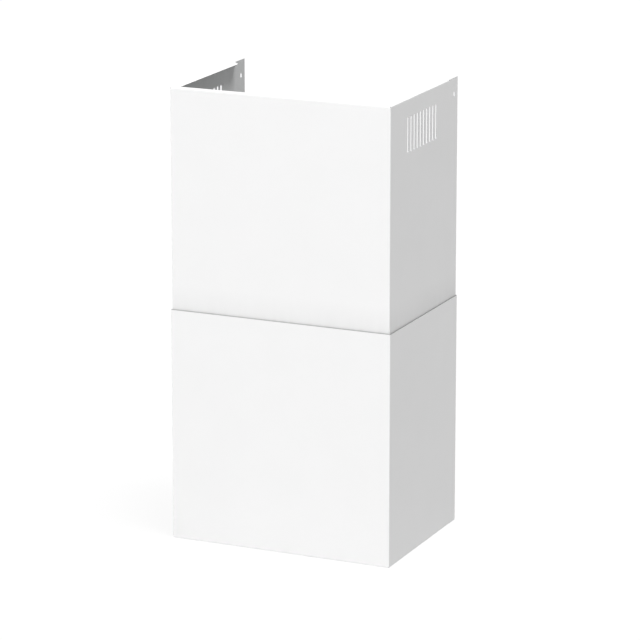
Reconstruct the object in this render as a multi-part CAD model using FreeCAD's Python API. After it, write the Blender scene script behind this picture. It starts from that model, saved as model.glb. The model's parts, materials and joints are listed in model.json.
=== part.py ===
import FreeCAD
import Part
import math
import os
from FreeCAD import Vector

# Telescopic chimney of a wall cooker hood: two covers, each folded from one coated steel sheet.
# Millimetres. +Z is up, the front faces -Y, and the origin is the middle of the lower cover's foot.

# Sheet and folds
sheet = 0.6               # coated steel
bend_radius = 0.4         # inside radius of every fold
mitre_gap = 0.2           # slit between two lips that meet at a corner
lip_end_slit = 1.0        # slit between the end of a lip and the flat wall behind it
slit_past_fold = 0.3      # how far a slit runs on past the fold

# Upper cover, the inner one
upper_width = 300.0
upper_depth = 216.0       # front face to rear edges
upper_height = 316.0
top_lip_front = 10.0      # folded-in edge along the top of the front
top_lip_side = 10.0       # folded-in edge along the top of each side
top_lip_setback = 28.0    # flat wall left behind each side lip, where the wall bracket reaches in
top_lip_rake = 11.0       # slant of each side lip's rear end

# Vent slots, in a row near the top of each side
vent_count = 10
vent_pitch = 10.0
vent_width = 4.0
vent_length = 45.0
vent_front = 55.0         # front face to the middle of the first slot
vent_drop = 22.5          # top edge to the upper ends of the slots

# Slot in each side for the screw into the wall bracket
bracket_slot_width = 4.0
bracket_slot_length = 6.0
bracket_slot_drop = 20.5  # top edge to its middle
bracket_slot_rear = 11.0  # rear edge to its middle

# Lower cover, the outer one
lower_height = 303.5
overlap = 29.5            # upper cover's length inside the lower one
slide_gap = 0.8           # clear space between the two covers
rear_return = 12.0        # folded-in edges at the back, which keep the upper cover in
return_bevel = 8.0        # cut-off corner at each end of those edges
foot_lip_front = 14.0     # folded-in edge along the foot of the front
foot_lip_side = 14.0      # folded-in edge along the foot of each side
foot_lip_setback = 20.0
foot_lip_rake = 14.0

# Holes in the foot lip for the screws into the hood, two on each side
foot_hole = 4.2
foot_hole_inset = 8.0     # outer face of the side to the middle of the hole
foot_hole_front = 50.0    # front face to the middle of the first hole
foot_hole_pitch = 110.0

# Worked out from the sizes above
fold_radius = bend_radius + sheet
nesting = sheet + slide_gap
lower_width = upper_width + 2 * nesting
lower_depth = upper_depth + 2 * nesting
upper_foot = lower_height - overlap
cut_past = 1.0            # how far a cutter runs on past the sheet

east = Vector(1, 0, 0)
north = Vector(0, 1, 0)
up = Vector(0, 0, 1)


def line(start, end):
    return Part.LineSegment(start, end).toShape()


def arc(start, middle, end):
    return Part.Arc(start, middle, end).toShape()


# Section of a strip with a square fold at each corner between its ends. Its outer face runs through
# the corners, given across and along from the origin, and its thickness lies on their left.
def folded_strip(corners, origin, across, along):
    points = [origin + across * a + along * b for a, b in corners]
    runs = [(end - start).normalize() for start, end in zip(points, points[1:])]
    facing = across.cross(along)
    inward = [facing.cross(run) * sheet for run in runs]
    outer = points[0]
    inner = points[0] + inward[0]
    edges = [line(inner, outer)]
    for fold in range(1, len(points) - 1):
        corner = points[fold]
        fold_start = corner - runs[fold - 1] * fold_radius
        fold_end = corner + runs[fold] * fold_radius
        centre = fold_start + runs[fold] * fold_radius
        outward = (corner - centre).normalize()
        inner_start = fold_start + inward[fold - 1]
        inner_end = fold_end + inward[fold]
        edges.append(line(outer, fold_start))
        edges.append(arc(fold_start, centre + outward * fold_radius, fold_end))
        edges.append(line(inner, inner_start))
        edges.append(arc(inner_start, centre + outward * bend_radius, inner_end))
        outer = fold_end
        inner = inner_end
    last_inner = points[-1] + inward[-1]
    edges.append(line(outer, points[-1]))
    edges.append(line(inner, last_inner))
    edges.append(line(points[-1], last_inner))
    return Part.Face(Part.Wire(Part.__sortEdges__(edges)))


# Upright block over a plan outline, from one height to another
def plan_block(outline, bottom, top):
    corners = [Vector(x, y, bottom) for x, y in outline]
    face = Part.Face(Part.makePolygon(corners + corners[:1]))
    return face.extrude(up * (top - bottom))


# Wedges that cut the free corners off the two folded-in edges at the back
def bevel_cutters(inner_edge, rear, height):
    cutters = []
    for x, towards in ((-inner_edge, -return_bevel), (inner_edge, return_bevel)):
        for z, down in ((0, return_bevel), (height, -return_bevel)):
            corner = Vector(x, rear - fold_radius, z)
            outline = [
                corner + Vector(-towards, 0, -down),
                corner + Vector(2 * towards, 0, -down),
                corner + Vector(-towards, 0, 2 * down),
            ]
            face = Part.Face(Part.makePolygon(outline + outline[:1]))
            cutters.append(face.extrude(north * (fold_radius + cut_past)))
    return Part.makeCompound(cutters)


# Cover with its front at -Y and an open back. A lip is folded in along the top of the front and the
# sides. The lips meet at the front corners in a mitre, and the side lips end on a slant.
def folded_cover(width, depth, height, lip_front, lip_side, setback, rake, back_edge):
    side = width / 2
    front = -depth / 2
    rear = depth / 2
    section = [(-side, rear), (-side, front), (side, front), (side, rear)]
    if back_edge > 0:
        section = [(back_edge - side, rear)] + section + [(side - back_edge, rear)]
    walls = folded_strip(section, Vector(0, 0, 0), east, north).extrude(up * height)
    if back_edge > 0:
        walls = walls.cut(bevel_cutters(side - back_edge, rear, height))

    # The walls stop short where the lips fold
    fold_depth = fold_radius + slit_past_fold
    lip_rear = rear - setback
    slit_rear = lip_rear + lip_end_slit
    out_x = side + cut_past
    out_y = front - cut_past
    lip_zone = [(-out_x, out_y), (out_x, out_y), (out_x, slit_rear), (-out_x, slit_rear)]
    walls = walls.cut(plan_block(lip_zone, height - fold_depth, height + cut_past))

    # Each lip is an angle along the flat of its wall, trimmed in plan to its mitre and its slant
    mitre_length = math.hypot(lip_side, lip_front)
    mitre_x = mitre_gap / 2 * mitre_length / lip_front
    mitre_y = mitre_gap / 2 * mitre_length / lip_side
    before = -0.5
    beyond = 1.5
    floor = height - fold_depth - cut_past
    roof = height + cut_past

    def mitre(share):
        return (share * lip_side - side, front + share * lip_front)

    near = mitre(before)
    far = mitre(beyond)
    front_plan = [
        (near[0] + mitre_x, near[1]),
        (-near[0] - mitre_x, near[1]),
        (-far[0] - mitre_x, far[1]),
        (far[0] + mitre_x, far[1]),
    ]
    side_plan = [
        (near[0], near[1] + mitre_y),
        (far[0], far[1] + mitre_y),
        (far[0], lip_rear - beyond * rake),
        (near[0], lip_rear - before * rake),
    ]
    front_angle = [(lip_front, 0), (0, 0), (0, -fold_depth)]
    side_angle = [(lip_side, 0), (0, 0), (0, -fold_depth)]
    front_start = Vector(fold_radius - side, front, height)
    side_start = Vector(-side, front + fold_radius, height)
    front_run = east * (width - 2 * fold_radius)
    side_run = north * (depth - setback - fold_radius)
    front_lip = folded_strip(front_angle, front_start, north, up).extrude(front_run)
    left_lip = folded_strip(side_angle, side_start, east, up).extrude(side_run)
    front_lip = front_lip.common(plan_block(front_plan, floor, roof))
    left_lip = left_lip.common(plan_block(side_plan, floor, roof))
    right_lip = left_lip.mirror(Vector(0, 0, 0), east)
    return walls.fuse([front_lip, left_lip, right_lip]).removeSplitter()


# Upright slot with round ends, through both sides
def slot_cutter(y, top, width, length):
    radius = width / 2
    high = top - radius
    low = top - length + radius
    start = -upper_width / 2 - cut_past

    def at(across, z):
        return Vector(start, y + across, z)

    edges = [
        line(at(-radius, low), at(-radius, high)),
        arc(at(-radius, high), at(0, top), at(radius, high)),
        line(at(radius, high), at(radius, low)),
        arc(at(radius, low), at(0, top - length), at(-radius, low)),
    ]
    return Part.Face(Part.Wire(edges)).extrude(east * (upper_width + 2 * cut_past))


def build_upper_cover():
    cover = folded_cover(
        upper_width, upper_depth, upper_height,
        top_lip_front, top_lip_side, top_lip_setback, top_lip_rake, 0,
    )
    first_vent = vent_front - upper_depth / 2
    vent_top = upper_height - vent_drop
    slots = [
        slot_cutter(first_vent + number * vent_pitch, vent_top, vent_width, vent_length)
        for number in range(vent_count)
    ]
    bracket_y = upper_depth / 2 - bracket_slot_rear
    bracket_top = upper_height - bracket_slot_drop + bracket_slot_length / 2
    slots.append(slot_cutter(bracket_y, bracket_top, bracket_slot_width, bracket_slot_length))
    cover = cover.cut(Part.makeCompound(slots))
    cover.translate(up * upper_foot)
    return cover


def build_lower_cover():
    cover = folded_cover(
        lower_width, lower_depth, lower_height,
        foot_lip_front, foot_lip_side, foot_lip_setback, foot_lip_rake, rear_return,
    )
    # Turned over, so that its lips are at the foot
    cover.rotate(Vector(0, 0, lower_height / 2), north, 180)
    hole_x = lower_width / 2 - foot_hole_inset
    first_hole = foot_hole_front - lower_depth / 2
    holes = []
    for x in (-hole_x, hole_x):
        for y in (first_hole, first_hole + foot_hole_pitch):
            start = Vector(x, y, -cut_past)
            holes.append(Part.makeCylinder(foot_hole / 2, sheet + 2 * cut_past, start, up))
    return cover.cut(Part.makeCompound(holes))


os.makedirs("parts", exist_ok=True)
pieces = {"upper_cover": build_upper_cover(), "lower_cover": build_lower_cover()}
for name, piece in pieces.items():
    solid = piece.Solids[0]
    solid.exportStep(f"parts/{name}.step")
    box = solid.BoundBox
    print(name, len(piece.Solids), solid.isValid(), round(solid.Volume), box)
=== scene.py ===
import json
import math

import bmesh
import bpy
import numpy as np
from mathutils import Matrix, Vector


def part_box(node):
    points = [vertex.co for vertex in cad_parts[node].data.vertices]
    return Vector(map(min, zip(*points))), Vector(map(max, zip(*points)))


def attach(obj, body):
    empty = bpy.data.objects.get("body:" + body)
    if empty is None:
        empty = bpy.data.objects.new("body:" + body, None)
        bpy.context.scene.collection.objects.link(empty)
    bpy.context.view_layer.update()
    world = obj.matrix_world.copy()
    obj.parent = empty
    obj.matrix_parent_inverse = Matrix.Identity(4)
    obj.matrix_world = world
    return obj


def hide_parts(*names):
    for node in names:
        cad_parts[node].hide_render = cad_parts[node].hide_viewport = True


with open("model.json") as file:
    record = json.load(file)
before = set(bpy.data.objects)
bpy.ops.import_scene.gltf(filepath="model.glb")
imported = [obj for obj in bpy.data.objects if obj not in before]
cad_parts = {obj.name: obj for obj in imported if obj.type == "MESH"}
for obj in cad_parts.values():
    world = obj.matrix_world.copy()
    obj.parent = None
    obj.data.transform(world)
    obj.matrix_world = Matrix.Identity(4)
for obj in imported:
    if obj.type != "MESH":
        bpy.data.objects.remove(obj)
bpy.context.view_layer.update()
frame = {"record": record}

# Telescopic chimney of a wall cooker hood: two covers, each folded from one sheet of coated steel.
# Metres, in the frame of the solids: +Z up, the front faces -Y.
mm = 0.001
quarter = math.pi / 2
white = (1, 1, 1, 1)
mounts = {mount["name"]: mount for mount in frame["record"]["mounts"]}
lowerLow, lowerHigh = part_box("lower_cover")
upperLow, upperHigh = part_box("upper_cover")


# sRGB hex to linear: the straight toe of the curve, then its power
def linear(hexColour):
    shades = np.array([int(hexColour[i:i + 2], 16) for i in (1, 3, 5)]) / 255
    toe = shades / 12.92
    curve = ((shades + 0.055) / 1.055) ** 2.4
    return (*np.where(shades <= 0.04045, toe, curve), 1.0)


# Adds a node, sets its properties, and fills its sockets with values or links
def addNode(tree, kind, sockets=None, **settings):
    node = tree.nodes.new(kind)
    for name, value in settings.items():
        setattr(node, name, value)
    for name, value in (sockets or {}).items():
        if isinstance(value, bpy.types.NodeSocket):
            tree.links.new(value, node.inputs[name])
        else:
            node.inputs[name].default_value = value
    return node


# Material with an empty node tree
def newMaterial(name):
    material = bpy.data.materials.new(name)
    material.use_nodes = True
    tree = material.node_tree
    tree.nodes.clear()
    return material, tree


# Turns a camera or a lamp to look at the object from a direction: degrees round from the front to the
# right, and degrees up
def aim(thing, azimuth, elevation):
    around = math.radians(azimuth)
    rise = math.radians(elevation)
    level = math.cos(rise)
    towards = Vector((math.sin(around) * level, -math.cos(around) * level, math.sin(rise)))
    thing.rotation_euler = towards.to_track_quat("Z", "Y").to_euler()


# Camera: where the photograph was taken from, fitted to the corners of the covers
camera = {
    "azimuth": 24.257,           # degrees round from the front to the right
    "elevation": 14.751,
    "place": (1.84919, -4.08836, 1.46137),
    "lens": 203.75,              # millimetres, as the sensor
    "sensor": 36.0,
}


def setCamera(view):
    data = bpy.data.cameras.new("camera")
    data.lens = view["lens"]
    data.sensor_width = view["sensor"]
    camObject = bpy.data.objects.new("camera", data)
    camObject.location = view["place"]
    aim(camObject, view["azimuth"], view["elevation"])
    bpy.context.scene.collection.objects.link(camObject)
    bpy.context.scene.camera = camObject


setCamera(camera)
print("camera set")

# Sheet that both covers are folded from, and the faces that it is drawn with
sheet = {
    "thickness": 0.6 * mm,
    "foldRadius": 1.0 * mm,      # outside of a fold
    "foldSteps": 8,
    "slitPastFold": 0.3 * mm,    # how far a slit runs on past the fold
    "mitreGap": 0.2 * mm,
    "lipEndSlit": 1.0 * mm,      # slit behind the end of a side lip
    "edgeRound": 0.1 * mm,       # sheared edges are broken, not knife sharp
    "edgeSteps": 2,
    "edgeAngle": 50,             # degrees: edges that turn by more are broken, the steps of a fold aren't
    "shy": 0.01 * mm,            # the faces stand this far inside the solid, so the broken edges do too
    "hold": 1.0 * mm,            # narrow row of faces beside a fold, which keeps the flats flat
    "lipHold": 2.2 * mm,         # the same on a lip, from the outer face
    "wallHold": 5.0 * mm,        # line of faces across the walls, down from the lip
    "squeeze": 25 * mm,          # length of lip over which its columns crowd up to a slanted end
    "screwBlock": 4.0 * mm,      # half the block of faces that a screw hole is cut in
    "screwSteps": 8,             # faces across that block
    "ringShares": (0, 0.35, 0.7, 0.9, 1),    # rings of faces, from the edge of a block to its hole
    "weld": 0.02 * mm,           # points of two patches this close are one point
}


# Girth of a cover: a walk from the middle of the front, round a fold, along a side, and on the lower
# cover round a second fold. Each flat run adds a straight step and each fold a quarter of a circle.
# Gives the plan point of the outer face and the outward direction there.
def girth(walk, cover):
    radius = sheet["foldRadius"]
    along = np.abs(walk)
    hand = np.where(walk < 0, -1.0, 1.0)
    x = np.zeros_like(along)
    y = np.full_like(along, cover["front"])
    heading = np.zeros_like(along)
    start = 0.0
    for number, run in enumerate(cover["runs"]):
        facing = number * quarter
        step = np.clip(along - start, 0, run)
        x += step * math.cos(facing)
        y += step * math.sin(facing)
        start += run
        if number + 1 < len(cover["runs"]):
            turn = np.clip((along - start) / radius, 0, quarter)
            x += radius * (np.sin(facing + turn) - math.sin(facing))
            y += radius * (math.cos(facing) - np.cos(facing + turn))
            heading += turn
            start += radius * quarter
    return hand * x, y, hand * np.sin(heading), -np.cos(heading)


# Wall: the girth carried straight up. Across a cut-off corner the rows close up from both ends, by as
# much as the walk has run into it.
def wallPoint(walk, rise, cover):
    x, y, _, _ = girth(walk, cover)
    cut = np.maximum(np.abs(walk) - (cover["end"] - cover["bevel"]), 0)
    z = cut + rise * (1 - 2 * cut / cover["height"])
    return np.stack([x, y, z], -1)


# Way in from the outer face over a lip: a quarter circle, then straight. The distance is counted from
# the start of the fold.
def lipInset(distance):
    radius = sheet["foldRadius"]
    turn = np.clip(distance / radius, 0, quarter)
    return radius * (1 - np.cos(turn)) + np.maximum(distance - radius * quarter, 0)


# Lip: straight up to the fold, a quarter circle inwards, then flat
def lipPoint(walk, distance, cover):
    radius = sheet["foldRadius"]
    x, y, outX, outY = girth(walk, cover)
    inward = lipInset(distance)
    turn = np.clip(distance / radius, 0, quarter)
    z = cover["height"] - radius + np.minimum(distance, 0) + radius * np.sin(turn)
    return np.stack([x - outX * inward, y - outY * inward, z], -1)


# Quads between neighbouring points of a grid, for the cells to keep. A grid without such a choice is a
# ring: it closes on itself and keeps them all.
def gridQuads(columns, rows, first, keep):
    index = first + np.arange(columns * rows).reshape(columns, rows)
    if keep is None:
        index = np.vstack([index, index[:1]])
        keep = np.ones((columns, rows - 1), bool)
    quads = np.stack([index[:-1, :-1], index[1:, :-1], index[1:, 1:], index[:-1, 1:]], -1)
    return quads[keep]


# Ring of faces between a block of grid cells and the hole in it: each border point is drawn towards
# the nearest point of the hole's outline, which is a circle, or a slot about an upright middle line
def holeRing(columns, rows, block, hole):
    left, right, low, high = block
    i = np.concatenate([np.arange(left, right), np.full(high - low, right),
                        np.arange(right, left, -1), np.full(high - low, left)])
    j = np.concatenate([np.full(right - left, low), np.arange(low, high),
                        np.full(right - left, high), np.arange(high, low, -1)])
    border = np.stack([columns[i, j], rows[i, j]], -1)
    middle = np.stack([np.full(len(i), hole["along"]),
                       np.clip(border[:, 1], hole["low"], hole["high"])], -1)
    outward = border - middle
    edge = middle + outward * (hole["radius"] / np.linalg.norm(outward, axis=1, keepdims=True))
    share = np.array(sheet["ringShares"])[None, :, None]
    return border[:, None, :] * (1 - share) + edge[:, None, :] * share


# Number of the grid line nearest to a value
def nearest(lines, value):
    return int(np.argmin(np.abs(lines - value)))


# Finds the block of each hole in a grid, blanks its cells and gives the ring that takes their place
def cutHoles(columns, rows, keep, holes):
    rings = []
    for hole in holes:
        block = (nearest(columns[:, 0], hole["along"] - hole["side"]),
                 nearest(columns[:, 0], hole["along"] + hole["side"]),
                 nearest(rows[0], hole["bottom"]), nearest(rows[0], hole["top"]))
        keep[block[0]:block[1], block[2]:block[3]] = False
        rings.append(holeRing(columns, rows, block, hole))
    return rings


# Lines of a grid: each stop comes with the number of steps from there to the next one
def gridLines(stops):
    stretches = [np.linspace(start, end, steps, endpoint=False)
                 for (start, steps), (end, _) in zip(stops, stops[1:])]
    return np.append(np.concatenate(stretches), stops[-1][0])


# Grid of one lip over a stretch of girth. Its columns near each end crowd up, so that the end follows
# its mitre or slant: start and stop say how far each row is set back there.
def lipGrid(lines, rows, start, stop):
    reach = sheet["squeeze"]
    walk, distance = np.meshgrid(lines, rows, indexing="ij")
    walk = walk + start * np.clip((lines[0] + reach - walk) / reach, 0, 1)
    walk = walk - stop * np.clip((walk - lines[-1] + reach) / reach, 0, 1)
    return walk, distance


# Patches of a wall or a lip: its grid of points with the cells to keep, then a ring for each hole
def surfacePatches(surface, cover, walk, across, keep, holes):
    rings = cutHoles(walk, across, keep, holes)
    patches = [(surface(walk, across, cover), keep)]
    for ring in rings:
        patches.append((surface(ring[..., 0], ring[..., 1], cover), None))
    return patches


# Patches of a whole cover: the walls in one, then the front lip and the two side lips
def coverPatches(cover):
    radius = sheet["foldRadius"]
    fold = radius * quarter
    half = cover["lines"]
    lines = np.concatenate([-half[:0:-1], half])
    slit = cover["height"] - radius - sheet["slitPastFold"]
    rows = np.append(cover["rows"], [slit, cover["height"]])
    walk, rise = np.meshgrid(lines, rows, indexing="ij")
    keep = np.ones((len(lines) - 1, len(rows) - 1), bool)
    middle = np.abs(lines[1:] + lines[:-1]) / 2
    keep[middle < cover["tabStart"], -1] = False       # the wall stops below the lips
    patches = surfacePatches(wallPoint, cover, walk, rise, keep, cover["wallHoles"])

    # Rows of a lip of this width: leg, fold, flat
    def lipRows(width):
        arc = np.linspace(0, fold, sheet["foldSteps"] + 1)
        flat = fold + np.append(cover["lipFlats"], width) - radius
        return np.concatenate([[-sheet["slitPastFold"]], arc, flat])

    # Setback of each row at a mitre, with half the gap measured square to the mitre line, and at a slant
    front = cover["lipFront"]
    side = cover["lipSide"]
    halfGap = sheet["mitreGap"] / 2 * math.hypot(front, side)
    frontRows = lipRows(front)
    sideRows = lipRows(side)
    frontMitre = np.maximum(lipInset(frontRows) * side / front + halfGap / front - radius, 0)
    sideMitre = np.maximum(lipInset(sideRows) * front / side + halfGap / side - radius, 0)
    slant = lipInset(sideRows) * cover["rake"] / side

    slack = sheet["weld"] / 2
    frontLines = lines[np.abs(lines) < cover["frontStop"] + slack]
    sideLines = half[(half > cover["sideStart"] - slack) & (half < cover["lipStop"] + slack)]
    holes = cover["lipHoles"]
    mirrored = [dict(hole, along=-hole["along"]) for hole in holes]
    lips = [
        (frontLines, frontRows, frontMitre, frontMitre, []),
        (sideLines, sideRows, sideMitre, slant, holes),
        (-sideLines[::-1], sideRows, slant, sideMitre, mirrored),
    ]
    for lipLines, distances, start, stop, lipHoles in lips:
        walk, distance = lipGrid(lipLines, distances, start, stop)
        keep = np.ones((len(lipLines) - 1, len(distances) - 1), bool)
        patches += surfacePatches(lipPoint, cover, walk, distance, keep, lipHoles)
    return patches


# Joins the patches into one sheet, gives it its thickness and breaks its edges
def makeCover(name, cover, materials):
    points = []
    quads = []
    count = 0
    for grid, keep in coverPatches(cover):
        columns, rows = grid.shape[:2]
        quads.append(gridQuads(columns, rows, count, keep))
        points.append(grid.reshape(-1, 3))
        count += columns * rows
    points = np.concatenate(points)
    if cover["turned"]:
        points = points * (-1, 1, -1) + (0, 0, cover["height"])
    points = points + (0, 0, cover["foot"])
    used, corners = np.unique(np.concatenate(quads), return_inverse=True)

    mesh = bpy.data.meshes.new(name)
    mesh.from_pydata(points[used], [], corners.reshape(-1, 4))
    work = bmesh.new()
    work.from_mesh(mesh)
    bmesh.ops.remove_doubles(work, verts=work.verts, dist=sheet["weld"])
    work.to_mesh(mesh)
    work.free()
    mesh.shade_smooth()
    for material in materials:
        mesh.materials.append(material)

    piece = bpy.data.objects.new(name, mesh)
    bpy.context.scene.collection.objects.link(piece)
    wall = piece.modifiers.new("sheetThickness", "SOLIDIFY")
    wall.thickness = sheet["thickness"]
    wall.offset = -1                 # inwards from the outer face
    wall.use_even_offset = True
    wall.material_offset = 1         # the materials are those of the outside, the inside and the cut edges
    wall.material_offset_rim = 2
    edge = piece.modifiers.new("brokenEdges", "BEVEL")
    edge.offset_type = "WIDTH"
    edge.width = sheet["edgeRound"]
    edge.segments = sheet["edgeSteps"]
    edge.limit_method = "ANGLE"
    edge.angle_limit = math.radians(sheet["edgeAngle"])
    normals = piece.modifiers.new("flatFaces", "WEIGHTED_NORMAL")
    normals.keep_sharp = True
    return piece


# Noise drawn out upwards into streaks of this size, across and up
def addStreaks(tree, place, size, detail):
    across, along = size
    stretched = addNode(tree, "ShaderNodeMapping", {
        "Vector": place,
        "Scale": (1 / across, 1 / across, 1 / along),
    })
    return addNode(tree, "ShaderNodeTexNoise", {
        "Vector": stretched.outputs["Vector"],
        "Scale": 1,
        "Detail": detail,
    }).outputs["Fac"]


# White coil-coated steel, polyester topcoat stoved on the flat strip before it was cut and folded:
# an even satin white with a faint orange peel, whose broad reflection is a little uneven.
coilCoat = {
    "colour": "#F1F1F1",
    "deepColour": "#EEEEEE",
    "mottle": 60 * mm,           # broad unevenness of the coat
    "roughness": (0.36, 0.44),
    "ior": 1.5,
    "peel": 3.0 * mm,            # orange peel, from crest to crest
    "peelHeight": 0.012 * mm,
}

# Painted shade on the upper cover above the ledge of the lower one, in the corner between the two parts: a
# narrow grey line in the corner and a thin film of shade that fades upwards. What the lower cover hides is
# less shaded.
ledgeShade = {
    "ledge": lowerHigh.z,
    "side": upperHigh.x,             # outer face of the side that the painted shade lies on
    "colour": "#959595",
    "streak": (9 * mm, 60 * mm),
    "noiseSpan": (0.3, 0.7),         # the noise hardly leaves this span
    "unevenness": (0.85, 1.15),
    "shares": [
        # millimetres above the ledge, share of painted shade in the colour on the front, and on the sides
        (-1.2, 0.05, 0.05),
        (-0.4, 0.95, 0.40),
        (0.3, 0.69, 0.34),
        (0.9, 0.28, 0.175),
        (2.0, 0.20, 0.14),
        (3.2, 0.12, 0.13),
        (4.5, 0.10, 0.12),
        (5.7, 0.09, 0.11),
        (7.5, 0.078, 0.098),
        (10.0, 0.066, 0.084),
        (20.0, 0.035, 0.045),
        (34.0, 0.0, 0.0),
    ],
}


# Adds the painted shade above the ledge to a coat's colour. The ramp's red is the share on the front and
# its green that on the sides, and one gives way to the other over the fold.
def addLedgeShade(tree, place, colour, seamShade):
    heights = np.array([height for height, _, _ in seamShade["shares"]]) * mm
    positions = (heights - heights[0]) / (heights[-1] - heights[0])
    axes = addNode(tree, "ShaderNodeSeparateXYZ", {"Vector": place})
    spot = addNode(tree, "ShaderNodeMapRange", {
        "Value": axes.outputs["Z"],
        "From Min": seamShade["ledge"] + heights[0],
        "From Max": seamShade["ledge"] + heights[-1],
    })
    ramp = addNode(tree, "ShaderNodeValToRGB", {"Fac": spot.outputs["Result"]})
    stops = ramp.color_ramp.elements      # a new ramp has a stop at each end already
    for position in positions[1:-1]:
        stops.new(position)
    for stop, (_, onFront, onSide) in zip(stops, seamShade["shares"]):
        stop.color = (onFront, onSide, 0, 1)
    shares = addNode(tree, "ShaderNodeSeparateColor", {"Color": ramp.outputs["Color"]})
    fromMiddle = addNode(tree, "ShaderNodeMath", {0: axes.outputs["X"]}, operation="ABSOLUTE")
    turned = addNode(tree, "ShaderNodeMapRange", {
        "Value": fromMiddle.outputs["Value"],
        "From Min": seamShade["side"] - sheet["foldRadius"],
        "From Max": seamShade["side"] - sheet["edgeRound"],
    })
    lying = addNode(tree, "ShaderNodeMix", {
        "Factor": turned.outputs["Result"],
        "A": shares.outputs["Red"],
        "B": shares.outputs["Green"],
    })
    uneven = addNode(tree, "ShaderNodeMapRange", {
        "Value": addStreaks(tree, place, seamShade["streak"], detail=2),
        "From Min": seamShade["noiseSpan"][0],
        "From Max": seamShade["noiseSpan"][1],
        "To Min": seamShade["unevenness"][0],
        "To Max": seamShade["unevenness"][1],
    })
    share = addNode(tree, "ShaderNodeMath", {
        0: lying.outputs["Result"],
        1: uneven.outputs["Result"],
    }, operation="MULTIPLY")
    return addNode(tree, "ShaderNodeMix", {
        "Factor": share.outputs["Value"],
        "A": colour,
        "B": linear(seamShade["colour"]),
    }, data_type="RGBA").outputs["Result"]


def makeCoilCoat(name, coat, seamShade=None):
    material, tree = newMaterial(name)
    place = addNode(tree, "ShaderNodeTexCoord").outputs["Object"]
    mottle = addNode(tree, "ShaderNodeTexNoise", {
        "Vector": place,
        "Scale": 1 / coat["mottle"],
        "Detail": 3,
    })
    colour = addNode(tree, "ShaderNodeMix", {
        "Factor": mottle.outputs["Fac"],
        "A": linear(coat["colour"]),
        "B": linear(coat["deepColour"]),
    }, data_type="RGBA").outputs["Result"]
    # Painted shade above the ledge of the lower cover, when it is given
    if seamShade:
        colour = addLedgeShade(tree, place, colour, seamShade)
    rough = addNode(tree, "ShaderNodeMapRange", {
        "Value": mottle.outputs["Fac"],
        "To Min": coat["roughness"][0],
        "To Max": coat["roughness"][1],
    })
    peel = addNode(tree, "ShaderNodeTexNoise", {
        "Vector": place,
        "Scale": 1 / coat["peel"],
        "Detail": 1,
    })
    bump = addNode(tree, "ShaderNodeBump", {
        "Height": peel.outputs["Fac"],
        "Distance": coat["peelHeight"],
    })
    shader = addNode(tree, "ShaderNodeBsdfPrincipled", {
        "Base Color": colour,
        "Roughness": rough.outputs["Result"],
        "IOR": coat["ior"],
        "Normal": bump.outputs["Normal"],
    })
    addNode(tree, "ShaderNodeOutputMaterial", {"Surface": shader.outputs["BSDF"]})
    return material


# Grey epoxy backing coat, rolled on thin over the zinc: matt, with faint streaks along the rolling,
# which is upright here
backCoat = {
    "colour": "#DFE0E0",
    "streakColour": "#D9DADA",
    "streak": (6 * mm, 90 * mm),
    "roughness": 0.9,
    "ior": 1.35,
}


def makeBackCoat(name, coat):
    material, tree = newMaterial(name)
    place = addNode(tree, "ShaderNodeTexCoord").outputs["Object"]
    colour = addNode(tree, "ShaderNodeMix", {
        "Factor": addStreaks(tree, place, coat["streak"], detail=3),
        "A": linear(coat["colour"]),
        "B": linear(coat["streakColour"]),
    }, data_type="RGBA").outputs["Result"]
    shader = addNode(tree, "ShaderNodeBsdfPrincipled", {
        "Base Color": colour,
        "Roughness": coat["roughness"],
        "IOR": coat["ior"],
    })
    addNode(tree, "ShaderNodeOutputMaterial", {"Surface": shader.outputs["BSDF"]})
    return material


# Zinc-coated steel, sheared: the bare cut edge of the sheet, a dull grey metal line. Along the top of a
# cover it is painted darker, as painted shade for the dark line under the lip and in the seam.
cutEdge = {
    "colour": "#DCDEE0",
    "darkColour": "#C8CACC",
    "grain": 1.5 * mm,           # marks of the shear, drawn coarser than real ones so that they show
    "roughness": 0.5,
    "dustColour": "#5F5F5E",
    "dustDepth": 1.0 * mm,       # painted shade reaches this far down from the top of the cover
    "dustFade": 0.1 * mm,
}


def makeCutEdge(name, edge, top):
    material, tree = newMaterial(name)
    place = addNode(tree, "ShaderNodeTexCoord").outputs["Object"]
    grain = addNode(tree, "ShaderNodeTexNoise", {
        "Vector": place,
        "Scale": 1 / edge["grain"],
        "Detail": 2,
    })
    colour = addNode(tree, "ShaderNodeMix", {
        "Factor": grain.outputs["Fac"],
        "A": linear(edge["colour"]),
        "B": linear(edge["darkColour"]),
    }, data_type="RGBA").outputs["Result"]
    # Painted shade: near the top of the cover the edge turns a dark grey
    axes = addNode(tree, "ShaderNodeSeparateXYZ", {"Vector": place})
    shadeFrom = top - edge["dustDepth"]
    shadedTop = addNode(tree, "ShaderNodeMapRange", {
        "Value": axes.outputs["Z"],
        "From Min": shadeFrom - edge["dustFade"],
        "From Max": shadeFrom,
    })
    colour = addNode(tree, "ShaderNodeMix", {
        "Factor": shadedTop.outputs["Result"],
        "A": colour,
        "B": linear(edge["dustColour"]),
    }, data_type="RGBA").outputs["Result"]
    shader = addNode(tree, "ShaderNodeBsdfPrincipled", {
        "Base Color": colour,
        "Metallic": 1.0,
        "Roughness": edge["roughness"],
    })
    addNode(tree, "ShaderNodeOutputMaterial", {"Surface": shader.outputs["BSDF"]})
    return material


whiteCoat = makeCoilCoat("white_coil_coated_steel", coilCoat)
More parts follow.
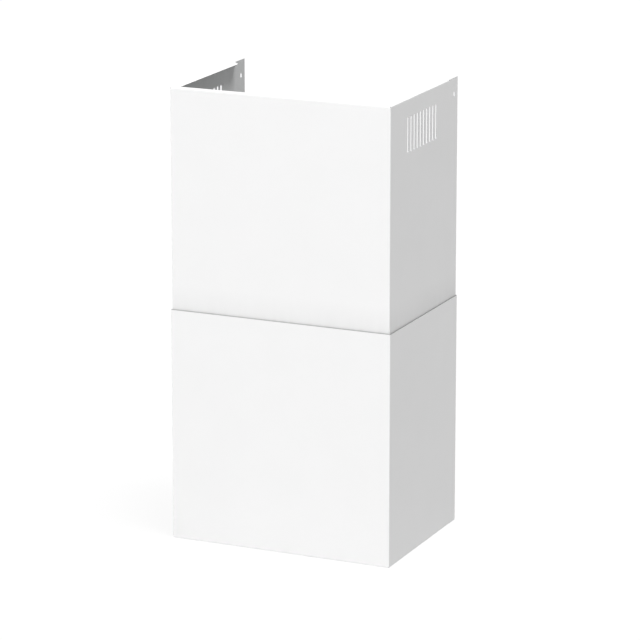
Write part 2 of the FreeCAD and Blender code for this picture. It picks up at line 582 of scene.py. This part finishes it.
# The upper cover's coat carries the painted shade above the ledge of the lower cover
seamShadedCoat = makeCoilCoat("white_coil_coated_steel_dusty", coilCoat, ledgeShade)
insideCoat = makeBackCoat("grey_backing_coat", backCoat)
lipEdge = makeCutEdge("sheared_zinc_steel_edge_upper", cutEdge, upperHigh.z)
ledgeEdge = makeCutEdge("sheared_zinc_steel_edge_lower", cutEdge, lowerHigh.z)
print("materials made")


# Overall sizes of a cover, from the box of its solid
def coverBox(low, high):
    shy = sheet["shy"]
    return {
        "front": low.y + shy,
        "foot": low.z,
        "height": high.z - low.z,
        "depth": high.y - low.y - 2 * shy,
        "width": high.x - low.x - 2 * shy,
    }


# Stations of a cover's walk: the ends of the front's fold, the end of the side lip and the start of the
# wall behind it. A distance from the front face, added to onSide, is a walk along the side.
def addStations(cover):
    radius = sheet["foldRadius"]
    cover["frontStop"] = cover["width"] / 2 - radius
    cover["sideStart"] = cover["frontStop"] + radius * quarter
    cover["onSide"] = cover["sideStart"] - radius
    cover["lipStop"] = cover["onSide"] + cover["depth"] - cover["setback"]
    cover["tabStart"] = cover["lipStop"] + sheet["lipEndSlit"]


# Upper cover: open at the back, vent slots and a screw slot in each side, a lip round the top
upper = {
    **coverBox(upperLow, upperHigh),
    "lipFront": 10.0 * mm,
    "lipSide": 10.0 * mm,
    "setback": 28.0 * mm,
    "rake": 11.0 * mm,
    "lipFlats": (sheet["lipHold"], 5.0 * mm),    # lines of faces along the lip, from the outer face
    "bevel": 0,
    "turned": False,
    "ventCount": 10,
    "ventPitch": 10.0 * mm,
    "ventRadius": 2.0 * mm,
    "ventLength": 45.0 * mm,
    "ventFront": 55.0 * mm,
    "ventDrop": 22.5 * mm,
    "ventSteps": 8,              # faces across one pitch
    "screwMargin": 1.5 * mm,     # faces above the screw slot
}


# Grid and holes of the upper cover. A hole has the walk to its middle, half the width of its block, a
# radius, the heights of the centres of its two ends, and the lowest and highest rows of its block.
def layOutUpper(cover):
    radius = sheet["foldRadius"]
    addStations(cover)
    frontStop = cover["frontStop"]
    sideStart = cover["sideStart"]
    cover["runs"] = [frontStop, cover["depth"] - radius]
    cover["end"] = sideStart + cover["depth"] - radius

    pitch = cover["ventPitch"]
    margin = pitch / 2
    vents = cover["onSide"] + cover["ventFront"] + pitch * np.arange(cover["ventCount"])
    ventEdge = vents[0] - margin
    ventStop = ventEdge + pitch * cover["ventCount"]
    ventTop = cover["height"] - cover["ventDrop"]
    highEnd = ventTop - cover["ventRadius"]
    lowEnd = ventTop - cover["ventLength"] + cover["ventRadius"]

    screw = mounts["bracket_slot_right"]
    screwAlong = cover["onSide"] + screw["pos_m"][1] - cover["front"]
    screwRise = screw["pos_m"][2] - cover["foot"]
    screwRadius = screw["dims"]["hole_r_mm"] * mm
    screwHalf = screw["dims"]["slot_length_mm"] / 2 * mm - screwRadius    # middle to the centre of an end
    screwTop = screwRise + screwHalf + screwRadius + cover["screwMargin"]

    block = sheet["screwBlock"]
    hold = sheet["hold"]
    cover["lines"] = gridLines([
        (0, 12),                                       # from the middle of the front
        (frontStop - hold, 1),
        (frontStop, sheet["foldSteps"]),
        (sideStart, 1),
        (sideStart + hold, 6),
        (ventEdge, cover["ventSteps"] * cover["ventCount"]),
        (ventStop, 6),
        (cover["lipStop"], 1),                         # the slit behind the lip
        (cover["tabStart"], 3),
        (screwAlong - block, sheet["screwSteps"]),
        (screwAlong + block, 1),
        (cover["end"], 0),
    ])
    cover["rows"] = gridLines([
        (0, 18),                                       # from the foot
        (lowEnd - margin, 4),
        (lowEnd, 10),                                  # the straight length of the vents
        (highEnd, 4),
        (highEnd + margin, 3),
        (screwTop, 3),
        (cover["height"] - sheet["wallHold"], 0),
    ])
    vent = {
        "side": margin,
        "radius": cover["ventRadius"],
        "low": lowEnd,
        "high": highEnd,
        "bottom": lowEnd - margin,
        "top": highEnd + margin,
    }
    screwSlot = {
        "side": block,
        "radius": screwRadius,
        "low": screwRise - screwHalf,
        "high": screwRise + screwHalf,
        "bottom": highEnd,
        "top": screwTop,
    }
    cover["wallHoles"] = [dict(vent, along=along) for along in np.append(-vents, vents)]
    cover["wallHoles"] += [dict(screwSlot, along=along) for along in (-screwAlong, screwAlong)]
    cover["lipHoles"] = []


layOutUpper(upper)
upperCover = makeCover("upperCover", upper, [seamShadedCoat, insideCoat, lipEdge])
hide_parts("upper_cover")
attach(upperCover, "upper")
print("upper cover made")

# Lower cover: edges turned in at the back, a lip with four screw holes round the foot. It is laid out
# with its lip at the top, then turned over.
lower = {
    **coverBox(lowerLow, lowerHigh),
    "return": 12.0 * mm,
    "bevel": 8.0 * mm,
    "lipFront": 14.0 * mm,
    "lipSide": 14.0 * mm,
    "setback": 20.0 * mm,
    "rake": 14.0 * mm,
    "turned": True,
}


# Grid and holes of the lower cover. Its holes are in the side lips, so their heights are distances over
# the lip.
def layOutLower(cover):
    radius = sheet["foldRadius"]
    addStations(cover)
    frontStop = cover["frontStop"]
    sideStart = cover["sideStart"]
    sideFlat = cover["depth"] - 2 * radius
    sideStop = sideStart + sideFlat
    backStart = sideStop + radius * quarter
    cover["runs"] = [frontStop, sideFlat, cover["return"] - radius]
    cover["end"] = backStart + cover["return"] - radius

    screws = mounts["foot_screws"]
    screwMiddle = cover["onSide"] + screws["pos_m"][1] - cover["front"]
    halfPitch = screws["dims"]["spacing_y_mm"] / 2 * mm
    frontScrew = screwMiddle - halfPitch
    rearScrew = screwMiddle + halfPitch
    screwInset = cover["width"] / 2 - screws["dims"]["spacing_x_mm"] / 2 * mm

    block = sheet["screwBlock"]
    hold = sheet["hold"]
    cover["lines"] = gridLines([
        (0, 12),                                       # from the middle of the front
        (frontStop - hold, 1),
        (frontStop, sheet["foldSteps"]),
        (sideStart, 1),
        (sideStart + hold, 6),
        (frontScrew - block, sheet["screwSteps"]),
        (frontScrew + block, 8),
        (rearScrew - block, sheet["screwSteps"]),
        (rearScrew + block, 5),
        (cover["lipStop"], 1),                         # the slit behind the lip
        (cover["tabStart"], 2),
        (sideStop - hold, 1),
        (sideStop, sheet["foldSteps"]),
        (backStart, 2),
        (cover["end"] - cover["bevel"], 6),            # the cut-off corners
        (cover["end"], 0),
    ])
    cover["rows"] = gridLines([(0, 24), (cover["height"] - sheet["wallHold"], 0)])
    acrossBlock = np.linspace(-block, block, sheet["screwSteps"] + 1)
    cover["lipFlats"] = np.append(sheet["lipHold"], screwInset + acrossBlock)
    overLip = radius * quarter - radius + screwInset
    screwHole = {
        "side": block,
        "radius": screws["dims"]["hole_r_mm"] * mm,
        "low": overLip,
        "high": overLip,
        "bottom": overLip - block,
        "top": overLip + block,
    }
    cover["wallHoles"] = []
    cover["lipHoles"] = [dict(screwHole, along=along) for along in (frontScrew, rearScrew)]


layOutLower(lower)
lowerCover = makeCover("lowerCover", lower, [whiteCoat, insideCoat, ledgeEdge])
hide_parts("lower_cover")
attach(lowerCover, "lower")
print("lower cover made")

# Studio: a white floor that keeps a faint shadow, an even sky and two soft lamps
studio = {
    "floorSize": 24.0,
    "floorColour": "#AEAEAE",  # what the floor throws back on the object
    "shadowShare": 0.10,       # share of the white that is light falling on the floor, so keeps shadows
    "sky": 0.30,
    "lamps": [
        # name, strength, degrees round from the front to the right, degrees up, softness in degrees
        ("frontLamp", 1.885, -10, 15, 40),
        ("topLamp", 2.62, 73, 75.2, 22),
    ],
}


# 1 for what the camera, a reflection or a see-through part looks at, 0 for plain light
def seenDirectly(tree):
    path = addNode(tree, "ShaderNodeLightPath")
    mirror = addNode(tree, "ShaderNodeMath", {
        0: path.outputs["Is Camera Ray"],
        1: path.outputs["Is Glossy Ray"],
    }, operation="MAXIMUM")
    return addNode(tree, "ShaderNodeMath", {
        0: mirror.outputs["Value"],
        1: path.outputs["Is Transmission Ray"],
    }, operation="MAXIMUM").outputs["Value"]


# Sky: white to look at, and a dimmer even light on the object
def makeSky(setting):
    world = bpy.data.worlds.new("studioSky")
    world.use_nodes = True
    tree = world.node_tree
    tree.nodes.clear()
    light = addNode(tree, "ShaderNodeBackground", {"Color": white, "Strength": setting["sky"]})
    backdrop = addNode(tree, "ShaderNodeBackground", {"Color": white, "Strength": 1.0})
    mixed = addNode(tree, "ShaderNodeMixShader", {
        "Fac": seenDirectly(tree),
        1: light.outputs["Background"],
        2: backdrop.outputs["Background"],
    })
    addNode(tree, "ShaderNodeOutputWorld", {"Surface": mixed.outputs["Shader"]})
    bpy.context.scene.world = world


# White paint, rolled on: matt. To look at, most of its white is its own, so that shadows on it are faint.
def makeFloorPaint(name, setting):
    material, tree = newMaterial(name)
    thrownBack = addNode(tree, "ShaderNodeBsdfDiffuse", {"Color": linear(setting["floorColour"])})
    matt = addNode(tree, "ShaderNodeBsdfDiffuse", {"Color": white})
    glow = addNode(tree, "ShaderNodeEmission", {"Color": white, "Strength": 1.0})
    kept = addNode(tree, "ShaderNodeMixShader", {
        "Fac": setting["shadowShare"],
        1: glow.outputs["Emission"],
        2: matt.outputs["BSDF"],
    })
    shown = addNode(tree, "ShaderNodeMixShader", {
        "Fac": seenDirectly(tree),
        1: thrownBack.outputs["BSDF"],
        2: kept.outputs["Shader"],
    })
    addNode(tree, "ShaderNodeOutputMaterial", {"Surface": shown.outputs["Shader"]})
    return material


def makeFloor(setting):
    reach = setting["floorSize"] / 2
    corners = np.array([(-1, -1, 0), (1, -1, 0), (1, 1, 0), (-1, 1, 0)]) * reach
    mesh = bpy.data.meshes.new("floor")
    mesh.from_pydata(corners, [], [(0, 1, 2, 3)])
    mesh.materials.append(makeFloorPaint("white_painted_floor", setting))
    floor = bpy.data.objects.new("floor", mesh)
    bpy.context.scene.collection.objects.link(floor)


def makeLamps(setting):
    for name, strength, azimuth, elevation, softness in setting["lamps"]:
        data = bpy.data.lights.new(name, "SUN")
        data.energy = strength
        data.angle = math.radians(softness)
        lamp = bpy.data.objects.new(name, data)
        aim(lamp, azimuth, elevation)
        bpy.context.scene.collection.objects.link(lamp)


makeSky(studio)
makeFloor(studio)
makeLamps(studio)
bpy.context.scene.view_settings.view_transform = "Standard"
print("studio set")

bpy.context.view_layer.update()
